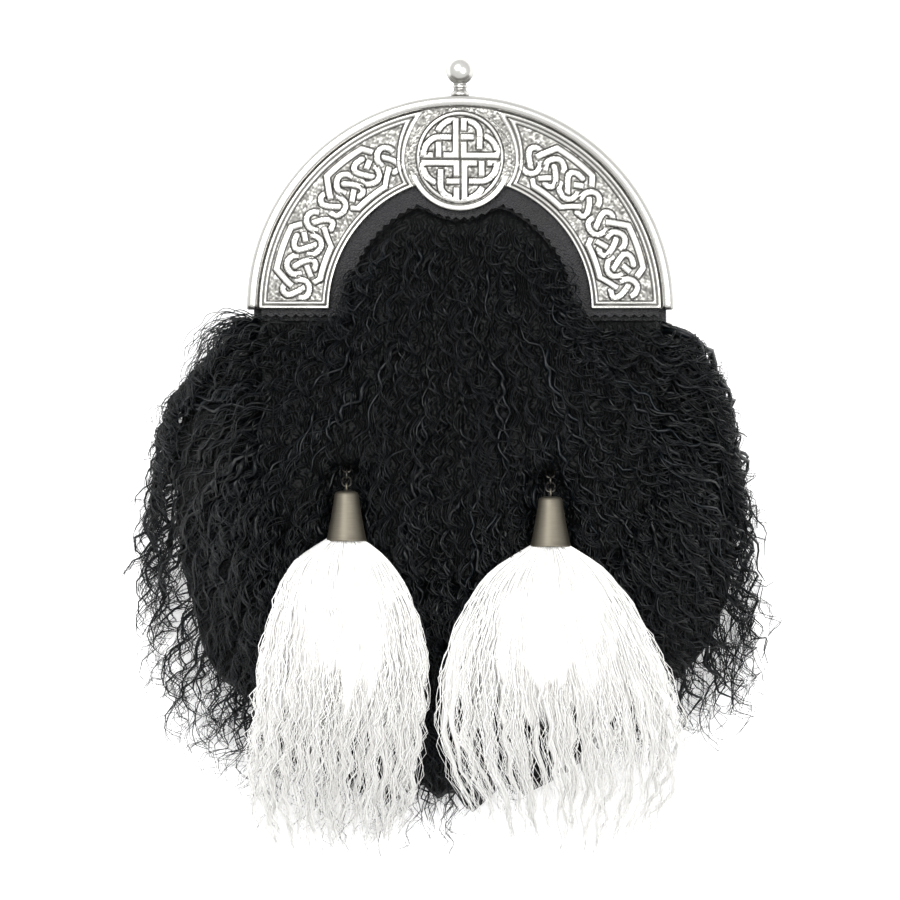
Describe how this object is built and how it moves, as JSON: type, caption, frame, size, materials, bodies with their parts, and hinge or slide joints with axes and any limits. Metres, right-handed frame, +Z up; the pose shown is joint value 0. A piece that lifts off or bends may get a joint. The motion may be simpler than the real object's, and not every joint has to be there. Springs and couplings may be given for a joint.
{
  "type": "sporran pouch",
  "caption": "Hair sporran pouch with a half-round knotwork metal top, ball knob, long curly black fleece front and white hair tassels in metal cones.",
  "frame": {"origin": "on the flat outer face of the back flap, straight behind the centre of the cantle's arch", "axes": "+X to the right as seen from the front, +Y towards the knob, +Z out of the front; the pouch lies on its back with +Z up"},
  "size_m": [0.2597, 0.336, 0.0635],
  "materials": {
    "antique_pewter": "cast antique pewter, satin, darker in the recesses",
    "satin_nickel": "satin nickel plate",
    "black_leather": "fine grained black leather, satin",
    "black_fleece": "long curly black sheepskin, soft sheen",
    "white_hair": "long wavy white hair, soft"
  },
  "bodies": {
    "root": {"cantle": "antique_pewter", "finial": "antique_pewter", "leather_trim": "black_leather", "fur": "black_fleece", "front_panel": "black_leather", "gusset": "black_leather", "back_panel": "black_leather", "back_flap": "black_leather", "snap_stud": "satin_nickel", "ring_tab_left": "black_leather", "belt_ring_left": "satin_nickel", "ring_tab_right": "black_leather", "belt_ring_right": "satin_nickel", "tassel_anchor_left": "satin_nickel", "tassel_link_left_1": "satin_nickel", "tassel_link_left_2": "satin_nickel", "tassel_link_left_3": "satin_nickel", "tassel_cone_left": "satin_nickel", "tassel_hair_left": "white_hair", "tassel_anchor_right": "satin_nickel", "tassel_link_right_1": "satin_nickel", "tassel_link_right_2": "satin_nickel", "tassel_link_right_3": "satin_nickel", "tassel_cone_right": "satin_nickel", "tassel_hair_right": "white_hair"}
  },
  "joints": []
}
